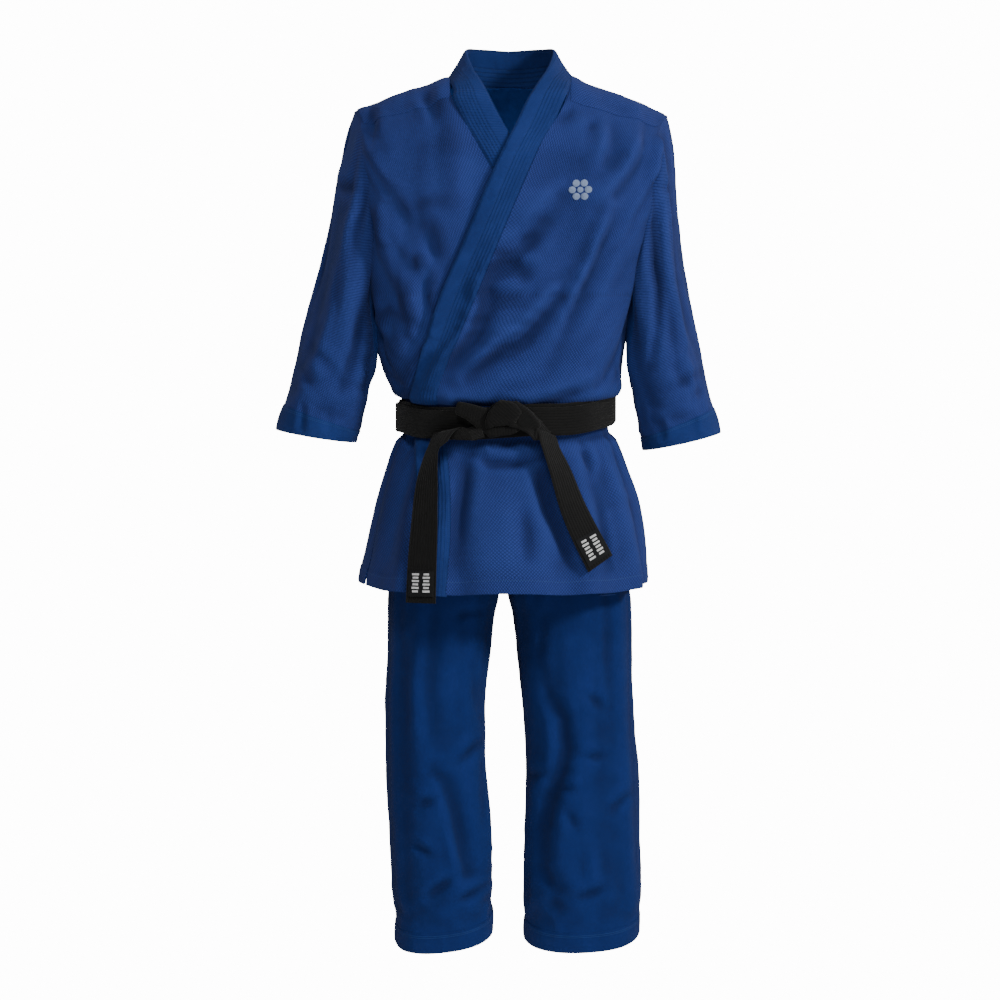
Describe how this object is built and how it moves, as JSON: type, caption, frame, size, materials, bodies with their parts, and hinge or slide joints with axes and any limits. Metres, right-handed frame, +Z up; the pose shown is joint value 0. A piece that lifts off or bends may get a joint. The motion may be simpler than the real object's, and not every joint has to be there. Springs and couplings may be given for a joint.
{
  "type": "martial arts uniform",
  "caption": "Wrap-front jacket with stitched lapels, drawstring trousers and a knotted belt, shaped as worn.",
  "frame": {"origin": "middle of the neck base, level with the neck ends of the shoulders", "axes": "+Z up, -Y towards the front of the wearer, +X towards the wearer's left"},
  "size_m": [0.6966, 0.3383, 1.3977],
  "materials": {
    "pearl_cloth": "pearl-weave cotton, matt",
    "band_cloth": "cotton drill, matt, stitched rows",
    "trouser_cloth": "cotton drill, matt",
    "belt_cloth": "cotton twill, rows of stitching",
    "emblem_thread": "satin embroidery thread"
  },
  "bodies": {
    "wrapped_jacket": {"back_panel": "pearl_cloth", "left_front_panel": "pearl_cloth", "right_front_panel": "pearl_cloth", "left_shoulder_yoke": "pearl_cloth", "right_shoulder_yoke": "pearl_cloth", "back_collar": "band_cloth", "left_lapel": "band_cloth", "right_lapel": "band_cloth", "back_hem": "band_cloth", "left_front_hem": "band_cloth", "right_front_hem": "band_cloth", "inner_tie_tabs": "band_cloth", "chest_emblem": "emblem_thread", "waistband": "trouser_cloth", "drawstring_eyelets": "emblem_thread", "left_hip": "trouser_cloth", "right_hip": "trouser_cloth", "crotch_gusset": "trouser_cloth", "belt_inner_wrap": "belt_cloth", "belt_outer_wrap": "belt_cloth", "belt_knot": "belt_cloth"},
    "left_arm": {"left_sleeve": "pearl_cloth", "left_cuff_hem": "band_cloth", "left_underarm_gusset": "band_cloth"},
    "right_arm": {"right_sleeve": "pearl_cloth", "right_cuff_hem": "band_cloth", "right_underarm_gusset": "band_cloth"},
    "left_trouser_leg": {"left_leg": "trouser_cloth", "left_leg_hem": "trouser_cloth"},
    "right_trouser_leg": {"right_leg": "trouser_cloth", "right_leg_hem": "trouser_cloth"},
    "left_belt_end": {"left_belt_tail": "belt_cloth", "left_belt_label": "belt_cloth"},
    "right_belt_end": {"right_belt_tail": "belt_cloth", "right_belt_label": "belt_cloth"}
  },
  "joints": [
    {"name": "left_sleeve_raise", "type": "hinge", "parent": "wrapped_jacket", "child": "left_arm", "pos_m": [0.25, 0, -0.036], "axis": [0, -1, 0], "range_deg": [0, 70]},
    {"name": "right_sleeve_raise", "type": "hinge", "parent": "wrapped_jacket", "child": "right_arm", "pos_m": [-0.244, 0, -0.036], "axis": [0, 1, 0], "range_deg": [0, 70]},
    {"name": "left_leg_swing", "type": "hinge", "parent": "wrapped_jacket", "child": "left_trouser_leg", "pos_m": [0.086, 0, -0.7], "axis": [-1, 0, 0], "range_deg": [-15, 20]},
    {"name": "right_leg_swing", "type": "hinge", "parent": "wrapped_jacket", "child": "right_trouser_leg", "pos_m": [-0.095, 0, -0.7], "axis": [-1, 0, 0], "range_deg": [-15, 20]},
    {"name": "left_tail_swing", "type": "hinge", "parent": "wrapped_jacket", "child": "left_belt_end", "pos_m": [0.018, -0.122, -0.488], "axis": [-1, 0, 0], "range_deg": [0, 70]},
    {"name": "right_tail_swing", "type": "hinge", "parent": "wrapped_jacket", "child": "right_belt_end", "pos_m": [-0.051, -0.118, -0.516], "axis": [-1, 0, 0], "range_deg": [0, 70]}
  ]
}
